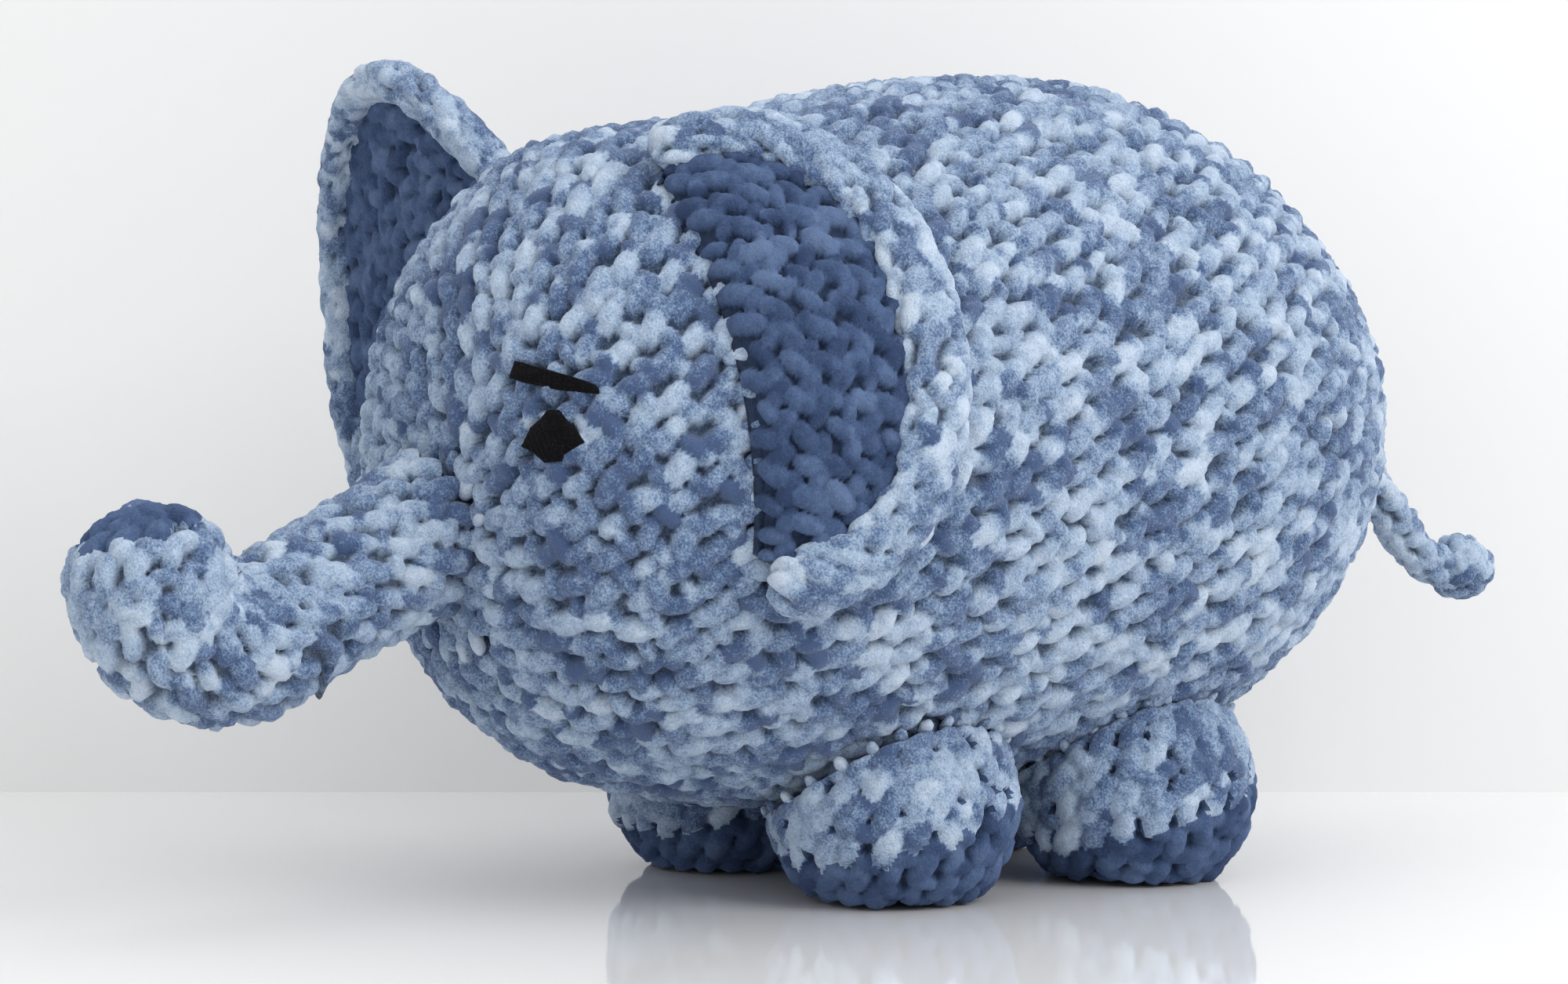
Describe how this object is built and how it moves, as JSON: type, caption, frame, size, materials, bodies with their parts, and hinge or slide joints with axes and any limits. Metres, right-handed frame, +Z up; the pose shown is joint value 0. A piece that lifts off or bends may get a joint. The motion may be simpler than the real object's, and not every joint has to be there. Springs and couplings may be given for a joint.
{
  "type": "stuffed elephant",
  "caption": "Plump crocheted elephant with a curled trunk, floppy two-sided ears, round legs with dark soles and a knotted tail.",
  "frame": {"origin": "on the surface it stands on, on the middle plane, midway between the front and rear feet", "axes": "+Z up; -Y the way it faces; +X to the elephant's own left"},
  "size_m": [0.3279, 0.6035, 0.2827],
  "materials": {
    "mixed_yarn": "matt",
    "dark_yarn": "matt",
    "black_yarn": "matt",
    "stuffing": "matt"
  },
  "bodies": {
    "torso": {"body_cover": "mixed_yarn", "body_stuffing": "stuffing", "closing_yarn": "mixed_yarn", "trunk_seam": "mixed_yarn", "left_ear_seam": "mixed_yarn", "right_ear_seam": "mixed_yarn", "front_left_seam": "mixed_yarn", "front_right_seam": "mixed_yarn", "rear_left_seam": "mixed_yarn", "rear_right_seam": "mixed_yarn", "tail_seam": "mixed_yarn", "left_eye": "black_yarn", "right_eye": "black_yarn", "left_brow": "black_yarn", "right_brow": "black_yarn"},
    "trunk": {"trunk_cover": "mixed_yarn", "trunk_cap": "dark_yarn", "trunk_stuffing": "stuffing"},
    "left_ear": {"left_ear_back": "mixed_yarn", "left_ear_inner": "dark_yarn", "left_ear_rim": "mixed_yarn"},
    "right_ear": {"right_ear_back": "mixed_yarn", "right_ear_inner": "dark_yarn", "right_ear_rim": "mixed_yarn"},
    "tail": {"tail_strip": "mixed_yarn", "tail_knot": "mixed_yarn"},
    "front_left_leg_body": {"front_left_leg": "mixed_yarn", "front_left_sole": "dark_yarn", "front_left_stuffing": "stuffing"},
    "front_right_leg_body": {"front_right_leg": "mixed_yarn", "front_right_sole": "dark_yarn", "front_right_stuffing": "stuffing"},
    "rear_left_leg_body": {"rear_left_leg": "mixed_yarn", "rear_left_sole": "dark_yarn", "rear_left_stuffing": "stuffing"},
    "rear_right_leg_body": {"rear_right_leg": "mixed_yarn", "rear_right_sole": "dark_yarn", "rear_right_stuffing": "stuffing"}
  },
  "joints": [
    {"name": "trunk_nod", "type": "hinge", "parent": "torso", "child": "trunk", "pos_m": [0, -0.19746, 0.11771], "axis": [1, 0, 0], "range_deg": [-12, 12], "stiffness_Nm_per_rad": 4},
    {"name": "left_ear_fold", "type": "hinge", "parent": "torso", "child": "left_ear", "pos_m": [0.10174, -0.13913, 0.18097], "axis": [0.342, 0.0655, -0.9374], "range_deg": [0, 90]},
    {"name": "right_ear_fold", "type": "hinge", "parent": "torso", "child": "right_ear", "pos_m": [-0.1149, -0.13946, 0.18574], "axis": [-0.342, 0.0655, -0.9374], "range_deg": [-15, 60]},
    {"name": "tail_swing", "type": "hinge", "parent": "torso", "child": "tail", "pos_m": [0, 0.18373, 0.14506], "axis": [0, 0, 1], "range_deg": [-25, 25], "stiffness_Nm_per_rad": 0.3},
    {"name": "front_left_tilt", "type": "hinge", "parent": "torso", "child": "front_left_leg_body", "pos_m": [0.052, -0.051, 0.058], "axis": [1, 0, 0], "range_deg": [-6, 6], "stiffness_Nm_per_rad": 6},
    {"name": "front_right_tilt", "type": "hinge", "parent": "torso", "child": "front_right_leg_body", "pos_m": [-0.052, -0.051, 0.058], "axis": [1, 0, 0], "range_deg": [-6, 6], "stiffness_Nm_per_rad": 6},
    {"name": "rear_left_tilt", "type": "hinge", "parent": "torso", "child": "rear_left_leg_body", "pos_m": [0.052, 0.051, 0.058], "axis": [1, 0, 0], "range_deg": [-6, 6], "stiffness_Nm_per_rad": 6},
    {"name": "rear_right_tilt", "type": "hinge", "parent": "torso", "child": "rear_right_leg_body", "pos_m": [-0.052, 0.051, 0.058], "axis": [1, 0, 0], "range_deg": [-6, 6], "stiffness_Nm_per_rad": 6}
  ]
}
